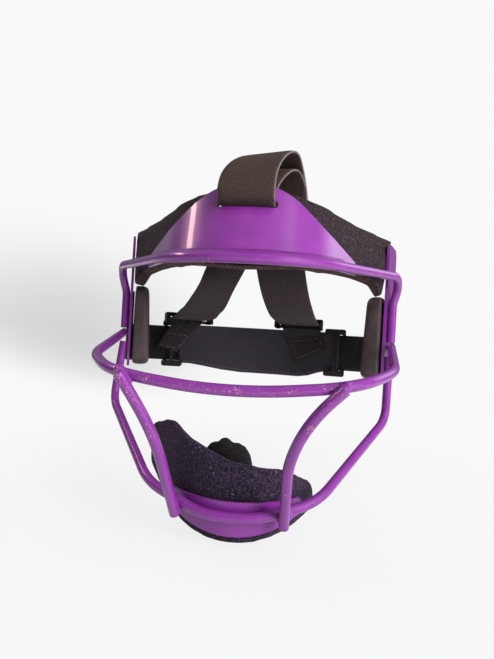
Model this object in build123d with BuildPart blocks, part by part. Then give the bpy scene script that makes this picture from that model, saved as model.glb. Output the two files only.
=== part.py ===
"""Softball face guard: a welded wire mask with pads and an elastic head harness.

Millimetres, +Z up, the face looks towards -Y, +X is the wearer's left.
The origin is the centre of the head opening, midway between the temples.
In the names, left and right are as seen from the front, so right is at +X.
"""

from math import asin, atan2, cos, hypot, radians, sin, tan
import os

from build123d import *

# Steel stock
wire_diameter = 5.0
brow_sheet = 1.6
chin_sheet = 1.6
temple_sheet = 1.6
weld_gap = 0.02

# Side plates at the temples
temple_half_width = 82.9
temple_depth = 2.0
temple_flare = 20.0
plate_top = 57.0
plate_bottom = -28.0
plate_front = 11.0
plate_rear = 17.0
plate_corner = 6.0
strap_slot_width = 3.4
strap_slot_rail = 4.6

# Brow wire
brow_reach = 97.0
brow_bend = 54.0
brow_corner_bulge = 6.6
brow_corner_half_width = temple_half_width + brow_corner_bulge
brow_corner_depth = -7.0
brow_corner_height = 36.8
brow_corner_bend = 13.0
brow_front_height = 31.0
leg_foot = -3.2
leg_knee = 20.5
leg_knee_bend = 12.0
leg_setback = 5.0

# Eye wire
eye_reach = 109.0
eye_front_height = -26.9
eye_shoulder = (52.4, -104.0, -21.3)
eye_flank = (73.6, -74.0, -16.4)
eye_end_height = -6.0
eye_front_bend = 200.0
eye_shoulder_bend = 38.0
eye_flank_bend = 60.0
eye_setback = 1.0

# Cheek wires
left_cheek_top = (-46.9, -108.7, -21.3)
left_cheek_knee = (-31.0, -105.0, -46.5)
left_cheek_foot = (-26.7, -79.0, -90.0)
right_cheek_top = (47.3, -108.6, -22.0)
right_cheek_knee = (26.0, -105.0, -43.5)
right_cheek_foot = (25.7, -79.0, -91.5)
cheek_bend = 57.0

# Chin wire
chin_top_height = -12.0
right_chin_corner = (82.6, -12.0, -49.7)
right_chin_jaw = (41.2, -68.0, -82.7)
left_chin_corner = (-86.7, -12.0, -49.4)
left_chin_jaw = (-44.1, -68.0, -79.8)
chin_nose = (12.0, -82.5, -88.0)
chin_corner_bend = 14.0
chin_jaw_bend = 40.0
chin_nose_bend = 40.0
chin_setback = 8.0

# Brow plate
brow_lean = 26.0
brow_plate_half_width = 55.5
brow_plate_foot = 31.2
brow_plate_corner_height = 38.3
brow_plate_shoulder = (38.0, 51.0)
brow_plate_neck = (20.0, 67.0)
brow_plate_apex = 73.0
brow_plate_shoulder_bend = 60.0
brow_plate_neck_bend = 40.0
brow_plate_apex_bend = 26.0
top_slot_length = 29.5
top_slot_width = 3.8
top_slot_round = 1.5
top_slot_drop = 13.4
top_slot_height = brow_plate_apex - top_slot_drop

# Chin plate
chin_plate_radius = 45.0
chin_flank = 35.0
chin_plate_half_width = 33.5
chin_plate_top = -81.5
chin_plate_corner_height = -90.0
chin_plate_foot = -99.0
chin_lean = 8.0

# Pads and their hook patches
patch = 1.1
brow_pad_thickness = 11.0
brow_pad_temple = (temple_half_width + 1.5, 61.0)
brow_pad_temple_foot = (temple_half_width - 7.7, 24.4)
brow_pad_rear = 14.0
brow_pad_shoulder = (temple_half_width - 16.9, 62.5)
brow_pad_crest = (15.5, 70.0)
brow_pad_notch = 54.0
brow_pad_cheek = (temple_half_width - 13.9, 30.0)
brow_pad_rise = (temple_half_width - 26.9, 31.6)
brow_pad_front_bottom = 27.0
brow_patch_half_width = 40.0
brow_patch_top = 52.0
side_pad_thickness = 9.6
side_pad_top = 24.0
side_pad_bottom = -27.0
side_pad_front = 15.0
side_pad_rear = 6.0
side_pad_round = 5.0
side_pad_edge = 3.0
patch_inset = 3.0
chin_pad_thickness = 8.0
chin_pad_left = (-55.0, -57.0)
chin_pad_left_foot = (-56.0, -82.0)
chin_pad_left_crest = (-38.0, -52.5)
chin_pad_middle = (-2.0, -66.0)
chin_pad_right_crest = (26.0, -70.3)
chin_pad_right = (39.8, -80.0)
chin_pad_right_foot = (41.2, -93.0)
chin_pad_corner = 6.0
chin_pad_crest_bend = 14.0
chin_pad_foot = -105.4
chin_pad_round = 2.5
chin_patch_half_width = 24.0
liner_place = -4.5
liner_half_width = 14.0
liner_top = -53.8
liner_foot = -94.0
liner_thickness = 7.0
liner_round = 3.0

# Straps, bands and webbing
strap_width = 27.0
strap_thickness = 1.8
rear_band_height = 33.0
rear_band_end_height = 28.4
rear_band_thickness = 1.6
webbing_width = 25.0
webbing_thickness = 1.4
webbing_clearance = 0.25
webbing_bend = 1.0
sewn_gap = 0.05
tab_thickness = 2.0

# Line of the band behind the head
band_level = -13.0
band_apex = 44.0
band_slope = 7.2
band_round = 150.0
band_half_length = 58.0
band_taper_start = 24.0
band_taper_end = 45.0
webbing_tail = 46.0
webbing_turn = 82.0
webbing_turn_bend = 6.0

# Sliders
slider_bar = 2.4
slider_wall = 2.2
slider_plate = 2.0
slider_clearance = 0.3
slider_round = 1.6
rear_slider_length = 14.5
crown_slider_length = 14.0
rear_slider_place = {"left": 63.0, "right": 55.0}

# Top strap: centre line of the loop, from the crown over the brow, through the slot and back
top_strap_route = [
    (17.0, -36.0, 57.0),
    (16.5, -36.2, 66.0),
    (15.5, -38.5, 76.0),
    (13.3, -46.0, 85.0),
    (10.8, -57.0, 89.5),
    (7.8, -68.0, 87.2),
    (4.0, -78.5, 80.8),
    (1.0, -84.5, 73.0),
    (0.0, -86.2, top_slot_height + 5.6),
    (0.0, -84.8, top_slot_height + 0.9),
    (0.0, -80.0, top_slot_height - 0.65),
    (0.0, -75.6, top_slot_height + 0.2),
    (0.0, -72.6, top_slot_height + 4.4),
    (1.0, -70.6, 71.0),
    (4.5, -66.5, 77.5),
    (8.5, -59.5, 82.0),
    (12.0, -51.0, 82.5),
    (15.0, -43.8, 76.0),
    (16.0, -41.2, 66.0),
    (16.5, -41.0, 57.0),
]
top_strap_turn = [12, 12, 13, 16, 19, 18, 14, 8, 2, 0, 0, 0, 0, 1, 4, 9, 13, 13, 12, 12]

# Crown straps: centre lines from the crown to the last bend before the anchor tabs
crown_route = {
    "left": [
        (0.0, -39.6, 66.0),
        (-2.0, -41.2, 56.0),
        (-7.0, -44.0, 46.0),
        (-12.5, -44.5, 36.5),
        (-18.5, -40.0, 24.5),
        (-29.0, -19.0, 13.0),
        (-39.5, -1.5, 6.0),
    ],
    "right": [
        (16.8, -38.6, 67.0),
        (16.8, -38.7, 57.0),
        (15.5, -42.5, 46.0),
        (16.0, -42.5, 35.0),
        (19.0, -36.5, 21.5),
        (22.5, -28.0, 12.0),
        (25.0, -15.0, 8.0),
    ],
}
crown_turn = {
    "left": [12, 14, 18, 8, -18, -22, -7.2],
    "right": [12, 12, 8, 6, 7.2, 7.2, 7.2],
}

# Anchor tabs on the rear band
tab_place = {"left": -52.0, "right": 31.0}
tab_half_width = {"left": 10.5, "right": 13.5}
tab_left_corner = {"left": (-22.0, -15.5), "right": (-4.0, -22.5)}
tab_right_corner = {"left": (-7.5, -19.0), "right": (18.0, -11.0)}
tab_top = {"left": 5.0, "right": 5.0}
tab_reach = 14.4
tab_shoulder = 7.5
tab_bend = 3.0
tab_foot = -24.0
tab_stand = {"left": 5.3, "right": 2.7}
tab_blank = 24.0


def mirrored(points):
    """The same points on the other side of the middle plane, in reverse order."""
    return [(-x, y, z) for x, y, z in reversed(points)]


def bent_wire(points, radii):
    """A round rod bent along straight runs and tangent arcs."""
    with BuildPart() as rod:
        with BuildLine() as route:
            FilletPolyline(*points, radius=radii)
        start = Plane(origin=route.line @ 0, z_dir=route.line % 0)
        with BuildSketch(start):
            Circle(wire_diameter / 2)
        sweep(path=route.line)
    return rod.part


def flank_of(corner_x, corner_y, centre_y, radius):
    """Angle from the Y axis of the line from a corner that is tangent to the front arc."""
    reach = hypot(corner_x, corner_y - centre_y)
    to_centre = atan2(corner_x, corner_y - centre_y)
    return to_centre - asin(radius / reach)


temple_angle = radians(temple_flare)
plate_along = Vector(sin(temple_angle), cos(temple_angle), 0)
plate_outward = Vector(cos(temple_angle), -sin(temple_angle), 0)
plate_origin = Vector(temple_half_width, temple_depth, 0)
temple_plane = Plane(origin=plate_origin, x_dir=plate_along, z_dir=plate_outward)


def on_plate(along, outward, height):
    """A point given along the right temple plate, outward from its inner face, and up."""
    place = plate_origin + plate_along * along + plate_outward * outward
    return (place.X, place.Y, height)


wire_seat = temple_sheet + wire_diameter / 2 + weld_gap

# Brow wire: a leg on each plate, a corner at the temple, and one round front
brow_centre = -brow_reach + brow_bend
flank_angle = flank_of(brow_corner_half_width, brow_corner_depth, brow_centre, brow_bend)
brow_apex_depth = brow_centre - brow_bend / sin(flank_angle)
front_run = -brow_reach - brow_apex_depth
corner_run = brow_corner_depth - brow_apex_depth
brow_rise = (brow_corner_height - brow_front_height) / (corner_run - front_run)
brow_apex_height = brow_front_height - brow_rise * front_run

brow_half = [
    on_plate(-leg_setback, wire_seat, leg_foot),
    on_plate(-leg_setback, wire_seat, leg_knee),
    (brow_corner_half_width, brow_corner_depth, brow_corner_height),
]
brow_points = brow_half + [(0, brow_apex_depth, brow_apex_height)] + mirrored(brow_half)
brow_radii = [leg_knee_bend, brow_corner_bend, brow_bend, brow_corner_bend, leg_knee_bend]
with BuildPart() as brow_wire:
    add(bent_wire(brow_points, brow_radii))

# Eye wire: from plate to plate below the eyes
eye_half = [on_plate(-eye_setback, wire_seat, eye_end_height), eye_flank, eye_shoulder]
eye_points = eye_half + [(0, -eye_reach, eye_front_height)] + mirrored(eye_half)
eye_radii = [eye_flank_bend, eye_shoulder_bend, eye_front_bend, eye_shoulder_bend, eye_flank_bend]
with BuildPart() as eye_wire:
    add(bent_wire(eye_points, eye_radii))

# Chin wire: from plate to plate along the jaw
chin_top = [on_plate(-chin_setback, wire_seat, chin_top_height)]
right_chin_half = chin_top + [right_chin_corner, right_chin_jaw, chin_nose]
left_chin_half = mirrored([chin_nose]) + [left_chin_jaw, left_chin_corner] + mirrored(chin_top)
chin_side_radii = [chin_corner_bend, chin_jaw_bend, chin_nose_bend]
with BuildPart() as chin_wire:
    add(bent_wire(right_chin_half + left_chin_half, chin_side_radii + chin_side_radii[::-1]))

# Cheek wires: from the front of the eye wire to the front of the chin wire
with BuildPart() as right_cheek_wire:
    add(bent_wire([right_cheek_top, right_cheek_knee, right_cheek_foot], [cheek_bend]))
with BuildPart() as left_cheek_wire:
    add(bent_wire([left_cheek_top, left_cheek_knee, left_cheek_foot], [cheek_bend]))

# Side plates: rounded strips with a slot near the rear edge
plate_height = plate_top - plate_bottom
plate_mid_height = (plate_top + plate_bottom) / 2
plate_length = plate_front + plate_rear
slot_centre = plate_rear - strap_slot_rail - strap_slot_width / 2
slot_height = webbing_width + strap_slot_width
with BuildPart() as right_side_plate:
    with BuildSketch(temple_plane) as blank:
        with Locations(((plate_rear - plate_front) / 2, plate_mid_height)):
            RectangleRounded(plate_length, plate_height, plate_corner)
        with Locations((slot_centre, band_level)):
            SlotOverall(slot_height, strap_slot_width, rotation=90, mode=Mode.SUBTRACT)
    extrude(amount=temple_sheet)
with BuildPart() as left_side_plate:
    mirror(right_side_plate.part, about=Plane.YZ)


def front_band(centre_y, bend, flank, outer, inner, flank_length):
    """Plan of a band with a round front and straight flanks, between two insets from its line."""
    heading = Vector(sin(flank), cos(flank))
    outward = Vector(cos(flank), -sin(flank))
    with BuildSketch() as band:
        with BuildLine():
            tips = []
            for inset in (outer, inner):
                turn = Vector(0, centre_y) + outward * (bend - inset)
                tip = turn + heading * flank_length
                front = (0, centre_y - bend + inset)
                Line((-tip.X, tip.Y), (-turn.X, turn.Y))
                ThreePointArc((-turn.X, turn.Y), front, (turn.X, turn.Y))
                Line((turn.X, turn.Y), (tip.X, tip.Y))
                tips.append(tip)
            for side in (1, -1):
                Line((side * tips[0].X, tips[0].Y), (side * tips[1].X, tips[1].Y))
        make_face()
    return band.sketch


def leaning_shell(band, line_height, foot, height, lean):
    """A sheet or pad whose plan is right at one height and moves back as it rises or sinks."""
    shift = (line_height - foot) * tan(lean)
    with BuildPart() as shell:
        with BuildSketch(Plane(origin=(0, -shift, foot))):
            add(band)
        extrude(amount=height / cos(lean), dir=(0, sin(lean), cos(lean)))
    return shell.part


brow_lean_angle = radians(brow_lean)
brow_seat = (wire_diameter / 2 + weld_gap) / cos(brow_lean_angle)
brow_sheet_run = brow_sheet / cos(brow_lean_angle)
brow_patch_seat = brow_seat + brow_sheet_run + weld_gap
brow_patch_run = patch / cos(brow_lean_angle)
brow_pad_seat = brow_patch_seat + brow_patch_run + sewn_gap
brow_pad_run = brow_pad_thickness / cos(brow_lean_angle)
brow_foot = side_pad_bottom
brow_rise_height = brow_plate_apex - brow_foot


def brow_shell(inset, run):
    """A layer that follows the brow wire, an inset inside its line and leaning back."""
    band = front_band(brow_centre, brow_bend, flank_angle, inset, inset + run, brow_reach)
    return leaning_shell(band, brow_front_height, brow_foot, brow_rise_height, brow_lean_angle)


# Brow plate: sheet rolled to the wire's curve, leaning back, trimmed to its outline
shoulder_x, shoulder_z = brow_plate_shoulder
neck_x, neck_z = brow_plate_neck
side_bends = [brow_plate_shoulder_bend, brow_plate_neck_bend]
with BuildPart() as brow_plate:
    add(brow_shell(brow_seat, brow_sheet_run))
    with BuildSketch(Plane.XZ):
        with BuildLine():
            top = FilletPolyline(
                (-brow_plate_half_width, brow_plate_corner_height),
                (-shoulder_x, shoulder_z),
                (-neck_x, neck_z),
                (0, brow_plate_apex),
                (neck_x, neck_z),
                (shoulder_x, shoulder_z),
                (brow_plate_half_width, brow_plate_corner_height),
                radius=side_bends + [brow_plate_apex_bend] + side_bends[::-1],
            )
            Polyline(
                top @ 0,
                (-brow_plate_half_width, brow_plate_foot),
                (brow_plate_half_width, brow_plate_foot),
                top @ 1,
            )
        make_face()
    extrude(amount=2 * brow_reach, both=True, mode=Mode.INTERSECT)
    with BuildSketch(Plane.XZ):
        with Locations((0, top_slot_height)):
            RectangleRounded(top_slot_length, top_slot_width, top_slot_round)
    extrude(amount=2 * brow_reach, mode=Mode.SUBTRACT)

# Brow patch: the strip of hook tape between plate and pad, below the strap slot
with BuildPart() as brow_patch:
    add(brow_shell(brow_patch_seat, brow_patch_run))
    patch_height = brow_patch_top - brow_plate_foot
    with BuildSketch(Plane.XZ):
        with Locations((0, brow_plate_foot + patch_height / 2)):
            RectangleRounded(2 * brow_patch_half_width, patch_height, patch_inset)
    extrude(amount=2 * brow_reach, both=True, mode=Mode.INTERSECT)

# Brow pad: from temple to temple, with a notch at the top for the strap's inner leg
crest_x, crest_z = brow_pad_crest
pad_shoulder_x, pad_shoulder_z = brow_pad_shoulder
rise_x, rise_z = brow_pad_rise
cheek_x, cheek_z = brow_pad_cheek
with BuildPart() as brow_pad:
    add(brow_shell(brow_pad_seat, brow_pad_run))
    with BuildSketch(Plane.XZ):
        with BuildLine():
            right_half = [
                (0, brow_pad_notch),
                (crest_x, brow_pad_notch),
                (crest_x, crest_z),
                (pad_shoulder_x, pad_shoulder_z),
                brow_pad_temple,
                brow_pad_temple_foot,
                (cheek_x, cheek_z),
                (rise_x, rise_z),
                (0, brow_pad_front_bottom),
            ]
            Polyline(*right_half)
            Polyline(*[(-x, z) for x, z in right_half])
        make_face()
    extrude(amount=2 * brow_reach, both=True, mode=Mode.INTERSECT)
    split(bisect_by=Plane.XZ.offset(-brow_pad_rear), keep=Keep.TOP)

# Side patches and side pads on the inner faces of the temple plates
pad_mid_along = (side_pad_rear - side_pad_front) / 2
pad_mid_height = (side_pad_top + side_pad_bottom) / 2
pad_length = side_pad_front + side_pad_rear
pad_height = side_pad_top - side_pad_bottom
patch_front = plate_front - patch_inset
patch_length = patch_front + side_pad_rear - patch_inset
with BuildPart() as right_side_patch:
    with BuildSketch(temple_plane.offset(-weld_gap)):
        with Locations(((side_pad_rear - patch_inset - patch_front) / 2, pad_mid_height)):
            RectangleRounded(patch_length, pad_height - 2 * patch_inset, patch_inset)
    extrude(amount=-patch)
with BuildPart() as left_side_patch:
    mirror(right_side_patch.part, about=Plane.YZ)
with BuildPart() as right_side_pad:
    with BuildSketch(temple_plane.offset(-weld_gap - patch - sewn_gap)):
        with Locations((pad_mid_along, pad_mid_height)):
            RectangleRounded(pad_length, pad_height, side_pad_round)
    extrude(amount=-side_pad_thickness)
    inner_face = right_side_pad.faces().sort_by(Axis((0, 0, 0), plate_outward))[0]
    fillet(inner_face.edges(), radius=side_pad_edge)
with BuildPart() as left_side_pad:
    mirror(right_side_pad.part, about=Plane.YZ)

# Chin plate, patch, pad and liner: layers inside the chin wire, the foot drawn back
chin_flank_angle = radians(chin_flank)
chin_lean_angle = radians(-chin_lean)
chin_wire_height = chin_nose[2]
chin_front = chin_nose[1]
chin_seat = (wire_diameter / 2 + weld_gap) / cos(chin_lean_angle)
chin_patch_seat = chin_seat + chin_sheet / cos(chin_lean_angle) + weld_gap
chin_pad_seat = chin_patch_seat + patch / cos(chin_lean_angle) + sewn_gap
chin_liner_seat = chin_pad_seat + chin_pad_thickness / cos(chin_lean_angle) + sewn_gap
chin_shell_height = liner_top - chin_pad_foot


def chin_shell(inset, thickness):
    """A layer inside the chin wire's front, an inset behind its line."""
    run = thickness / cos(chin_lean_angle)
    centre = chin_front + chin_plate_radius
    band = front_band(
        centre, chin_plate_radius, chin_flank_angle, inset, inset + run, chin_plate_radius
    )
    return leaning_shell(band, chin_wire_height, chin_pad_foot, chin_shell_height, chin_lean_angle)


with BuildPart() as chin_plate:
    add(chin_shell(chin_seat, chin_sheet))
    with BuildSketch(Plane.XZ):
        with BuildLine():
            Polyline(
                (-chin_plate_half_width, chin_plate_corner_height),
                (-chin_plate_half_width, chin_plate_top),
                (chin_plate_half_width, chin_plate_top),
                (chin_plate_half_width, chin_plate_corner_height),
            )
            ThreePointArc(
                (-chin_plate_half_width, chin_plate_corner_height),
                (0, chin_plate_foot),
                (chin_plate_half_width, chin_plate_corner_height),
            )
        make_face()
        fillet(vertices().group_by(Axis.Y)[-1], radius=patch_inset)
    extrude(amount=2 * brow_reach, both=True, mode=Mode.INTERSECT)

with BuildPart() as chin_patch:
    add(chin_shell(chin_patch_seat, patch))
    patch_rise = chin_plate_top - chin_plate_corner_height
    with BuildSketch(Plane.XZ):
        with Locations((0, chin_plate_corner_height + patch_rise / 2)):
            RectangleRounded(2 * chin_patch_half_width, patch_rise, patch_inset)
    extrude(amount=2 * brow_reach, both=True, mode=Mode.INTERSECT)

with BuildPart() as chin_pad:
    add(chin_shell(chin_pad_seat, chin_pad_thickness))
    with BuildSketch(Plane.XZ):
        with BuildLine():
            crest = FilletPolyline(
                chin_pad_left_foot,
                chin_pad_left,
                chin_pad_left_crest,
                chin_pad_middle,
                chin_pad_right_crest,
                chin_pad_right,
                chin_pad_right_foot,
                radius=[chin_pad_corner] + 3 * [chin_pad_crest_bend] + [chin_pad_corner],
            )
            ThreePointArc(crest @ 0, (0, chin_pad_foot), crest @ 1)
        make_face()
    extrude(amount=2 * brow_reach, both=True, mode=Mode.INTERSECT)
    fillet(chin_pad.edges(), radius=chin_pad_round)

with BuildPart() as chin_liner:
    add(chin_shell(chin_liner_seat, liner_thickness))
    liner_height = liner_top - liner_foot
    with BuildSketch(Plane.XZ):
        with Locations((liner_place, liner_foot + liner_height / 2)):
            SlotOverall(liner_height, 2 * liner_half_width, rotation=90)
    extrude(amount=2 * brow_reach, both=True, mode=Mode.INTERSECT)
    fillet(chin_liner.edges(), radius=liner_round)


def ribbon(route, turns, width, thickness, heading=None):
    """A flat strap through stations, each with the turn of its width about the vertical.

    The last section is square to the heading, where one is given.
    """
    stations = [Vector(*place) for place in route]
    with BuildPart() as strap:
        for index, (place, turn) in enumerate(zip(stations, turns)):
            before = stations[max(index - 1, 0)]
            after = stations[min(index + 1, len(stations) - 1)]
            side = Vector(cos(radians(turn)), -sin(radians(turn)), 0)
            along = (after - before).normalized()
            if heading and index == len(stations) - 1:
                along = heading
            along = (along - side * along.dot(side)).normalized()
            with BuildSketch(Plane(origin=place, x_dir=side, z_dir=along)):
                Rectangle(width, thickness)
        loft(ruled=True)
    return strap.part


# Top strap: one loop through the brow plate's slot
with BuildPart() as top_strap:
    add(ribbon(top_strap_route, top_strap_turn, strap_width, strap_thickness))

# Rear band: a straight stretch on each side and a round middle
band_angle = radians(band_slope)
band_run = Vector(cos(band_angle), -sin(band_angle), 0)
band_back = Vector(sin(band_angle), cos(band_angle), 0)


def on_band(along, behind, height=band_level):
    """A point at a distance from the middle along the right half of the band's line."""
    place = Vector(0, band_apex, 0) + band_run * (along / cos(band_angle)) + band_back * behind
    return (place.X, place.Y, height)


def flat(point):
    """The plan place of a point."""
    return (point[0], point[1])


band_layer = -(rear_band_thickness + sewn_gap) / 2
webbing_layer = (webbing_thickness + sewn_gap) / 2
band_end_point = on_band(band_half_length, band_layer)
band_apex_point = (0, band_apex + band_layer / cos(band_angle))
with BuildPart() as rear_band:
    with BuildSketch(Plane.XY.offset(band_level - rear_band_height)):
        with BuildLine():
            FilletPolyline(
                (-band_end_point[0], band_end_point[1]),
                band_apex_point,
                flat(band_end_point),
                radius=band_round,
            )
        trace(line_width=rear_band_thickness)
    extrude(amount=2 * rear_band_height)
    half_end = rear_band_end_height / 2
    band_foot = band_level + half_end - rear_band_height
    with BuildSketch(Plane.XZ):
        with BuildLine():
            right_edge = [
                (0, band_level + half_end),
                (2 * band_half_length, band_level + half_end),
                (2 * band_half_length, band_level - half_end),
                (band_taper_end, band_level - half_end),
                (band_taper_start, band_foot),
                (0, band_foot),
            ]
            Polyline(*right_edge)
            Polyline(*[(-x, z) for x, z in right_edge])
        make_face()
    extrude(amount=2 * brow_reach, both=True, mode=Mode.INTERSECT)

# Side webbing: looped round the rail behind the plate's slot, then back to the rear slider
loop_inner = -webbing_clearance - webbing_thickness / 2
loop_outer = temple_sheet + webbing_clearance + webbing_thickness / 2
loop_front = plate_rear - strap_slot_rail + loop_inner
loop_rear = plate_rear - loop_inner
loop_inside = loop_inner - webbing_thickness
with BuildPart() as right_side_webbing:
    with BuildSketch(Plane.XY.offset(band_level - webbing_width / 2)):
        with BuildLine():
            FilletPolyline(
                flat(on_band(webbing_tail, webbing_layer)),
                flat(on_band(webbing_turn, webbing_layer)),
                flat(on_plate(loop_rear, loop_inside, 0)),
                flat(on_plate(loop_rear, loop_outer, 0)),
                flat(on_plate(loop_front, loop_outer, 0)),
                flat(on_plate(loop_front, loop_inner, 0)),
                flat(on_plate(loop_rear - webbing_bend, loop_inside, 0)),
                radius=[webbing_turn_bend] + 4 * [webbing_bend],
            )
        trace(line_width=webbing_thickness)
    extrude(amount=webbing_width)
with BuildPart() as left_side_webbing:
    mirror(right_side_webbing.part, about=Plane.YZ)


def three_bar_slider(plane, length, strap, passage, window):
    """A slider with one bar in front of the strap, a bar at each end behind it, and two walls."""
    opening = strap + 2 * slider_clearance
    gap = passage + 2 * slider_clearance
    depth = gap / 2 + slider_plate
    with BuildPart() as slider:
        with BuildSketch(plane):
            RectangleRounded(length, opening + 2 * slider_wall, slider_round)
        extrude(amount=depth, both=True)
        with BuildSketch(plane):
            Rectangle(length, opening)
        extrude(amount=gap / 2, both=True, mode=Mode.SUBTRACT)
        side_run = (length - slider_bar) / 2
        with BuildSketch(plane):
            with GridLocations(slider_bar + side_run, 0, 2, 1):
                Rectangle(side_run, window)
        extrude(amount=depth, mode=Mode.SUBTRACT)
        with BuildSketch(plane):
            Rectangle(length - 2 * slider_bar, window)
        extrude(amount=-depth, mode=Mode.SUBTRACT)
    return slider.part


# Rear sliders: round the end of the band and the webbing behind it
rear_pack = rear_band_thickness + sewn_gap + webbing_thickness
rear_pack_middle = (webbing_thickness - rear_band_thickness) / 2
rear_window = webbing_width + 2 * slider_clearance


def rear_slider_plane(place):
    """The slider's plane on the right half of the band, facing the front."""
    return Plane(
        origin=on_band(place, rear_pack_middle), x_dir=band_run, z_dir=band_back * -1
    )


with BuildPart() as right_rear_slider:
    add(
        three_bar_slider(
            rear_slider_plane(rear_slider_place["right"]),
            rear_slider_length,
            rear_band_end_height,
            rear_pack,
            rear_window,
        )
    )
with BuildPart() as left_rear_slider:
    mirror(
        three_bar_slider(
            rear_slider_plane(rear_slider_place["left"]),
            rear_slider_length,
            rear_band_end_height,
            rear_pack,
            rear_window,
        ),
        about=Plane.YZ,
    )

parts = {
    "brow_plate": brow_plate,
    "brow_wire": brow_wire,
    "eye_wire": eye_wire,
    "chin_wire": chin_wire,
    "left_cheek_wire": left_cheek_wire,
    "right_cheek_wire": right_cheek_wire,
    "left_side_plate": left_side_plate,
    "right_side_plate": right_side_plate,
    "chin_plate": chin_plate,
    "brow_patch": brow_patch,
    "brow_pad": brow_pad,
    "left_side_patch": left_side_patch,
    "right_side_patch": right_side_patch,
    "left_side_pad": left_side_pad,
    "right_side_pad": right_side_pad,
    "chin_patch": chin_patch,
    "chin_pad": chin_pad,
    "chin_liner": chin_liner,
    "top_strap": top_strap,
    "rear_band": rear_band,
    "left_side_webbing": left_side_webbing,
    "right_side_webbing": right_side_webbing,
    "left_rear_slider": left_rear_slider,
    "right_rear_slider": right_rear_slider,
}

# Anchor tabs, crown straps and crown sliders: one of each on the left and on the right
for side, sign in (("left", -1), ("right", 1)):
    across = Vector(band_run.X, sign * band_run.Y, 0)
    forward = Vector(-sign * band_back.X, -band_back.Y, 0)
    along = abs(tab_place[side])
    seat_x, seat_y, seat_z = on_band(along, 0, 0)
    seat = Vector(sign * seat_x, seat_y, seat_z)
    tab_plane = Plane(origin=seat, x_dir=forward, z_dir=across * -1)
    half_width = tab_half_width[side]
    top_z = tab_top[side]
    tab_layer = tab_stand[side]
    with BuildPart() as anchor_tab:
        with BuildSketch(tab_plane):
            with BuildLine():
                FilletPolyline(
                    (tab_reach, top_z),
                    (tab_shoulder, top_z),
                    (tab_layer, top_z - tab_shoulder),
                    (tab_layer, tab_foot),
                    radius=tab_bend,
                )
            trace(line_width=tab_thickness)
        extrude(amount=tab_blank, both=True)
        with BuildSketch(Plane(origin=seat, x_dir=across, z_dir=forward)):
            with BuildLine():
                Polyline(
                    (-half_width, top_z + tab_thickness),
                    (half_width, top_z + tab_thickness),
                    (half_width, top_z - tab_thickness),
                    tab_right_corner[side],
                    tab_left_corner[side],
                    (-half_width, top_z - tab_thickness),
                    close=True,
                )
            make_face()
        extrude(amount=2 * tab_reach, mode=Mode.INTERSECT)
    parts[side + "_anchor_tab"] = anchor_tab

    strap_end = seat + forward * (tab_reach + sewn_gap) + Vector(0, 0, top_z)
    route = crown_route[side] + [(strap_end.X, strap_end.Y, strap_end.Z)]
    turns = crown_turn[side] + [sign * band_slope]
    with BuildPart() as crown_strap:
        add(ribbon(route, turns, strap_width, strap_thickness, forward * -1))
    parts[side + "_crown_strap"] = crown_strap

    last_bend = Vector(*crown_route[side][-1])
    run = (strap_end - last_bend).normalized()
    slider_centre = strap_end - run * (crown_slider_length / 2 + slider_clearance)
    facing = run.cross(across).normalized()
    with BuildPart() as crown_slider:
        add(
            three_bar_slider(
                Plane(origin=slider_centre, x_dir=run, z_dir=facing),
                crown_slider_length,
                strap_width,
                strap_thickness,
                strap_width + 2 * slider_clearance,
            )
        )
    parts[side + "_crown_slider"] = crown_slider

os.makedirs("parts", exist_ok=True)
for name, piece in parts.items():
    piece.part.label = name
    export_step(piece.part, f"parts/{name}.step")
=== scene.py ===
# %% [markdown]
# # A softball face guard
#
# The object is a fielder's face guard: five bent steel rods and four cut plates welded into a cage
# and powder coated, with foam pads on hook tape, and a harness of elastic, webbing and plastic sliders.
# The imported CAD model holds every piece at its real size. This file gives each one its finish and
# remodels what is soft, always in the place that the CAD piece has.

# %% Load the frame
from math import cos, pi, radians, sin, tan
import random

import bmesh
import bpy
import numpy as np
from mathutils import Matrix, Vector, noise


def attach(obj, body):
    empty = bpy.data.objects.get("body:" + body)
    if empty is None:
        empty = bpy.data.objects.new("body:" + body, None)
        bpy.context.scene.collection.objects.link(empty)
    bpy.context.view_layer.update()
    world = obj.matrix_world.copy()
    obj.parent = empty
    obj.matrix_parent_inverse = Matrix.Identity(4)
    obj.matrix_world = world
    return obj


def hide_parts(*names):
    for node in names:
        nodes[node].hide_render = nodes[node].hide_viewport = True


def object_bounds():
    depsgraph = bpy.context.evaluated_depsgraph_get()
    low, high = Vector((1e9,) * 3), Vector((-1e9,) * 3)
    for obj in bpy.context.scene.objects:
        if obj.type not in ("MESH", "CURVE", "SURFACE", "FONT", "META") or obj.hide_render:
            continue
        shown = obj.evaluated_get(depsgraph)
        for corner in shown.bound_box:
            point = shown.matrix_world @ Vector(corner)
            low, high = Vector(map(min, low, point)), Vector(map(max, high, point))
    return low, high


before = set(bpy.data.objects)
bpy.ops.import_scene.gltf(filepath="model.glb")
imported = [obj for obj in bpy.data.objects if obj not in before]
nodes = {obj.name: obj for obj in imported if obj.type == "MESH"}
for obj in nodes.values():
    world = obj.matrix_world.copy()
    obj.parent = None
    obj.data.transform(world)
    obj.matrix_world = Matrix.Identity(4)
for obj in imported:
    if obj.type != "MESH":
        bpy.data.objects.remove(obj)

cad_low, cad_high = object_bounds()
root = "mask"

# %% [markdown]
# ## Camera
#
# The photograph was taken from about 0.3 m with a wide phone lens, slightly to the wearer's left and
# with a small roll. The place, the turn and the lens came from the drawn width of the steel rod, which
# is the same 5 mm everywhere, so a thicker rod in the picture is a nearer one.

# %% Camera
mm = 0.001
camera_place = Vector((25.5, -294.0, 0.0)) * mm
camera_turn = radians(5.9)
camera_roll = radians(3.2)
sensor_long_side_mm = 36.0
focal_length_mm = 24.96

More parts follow.
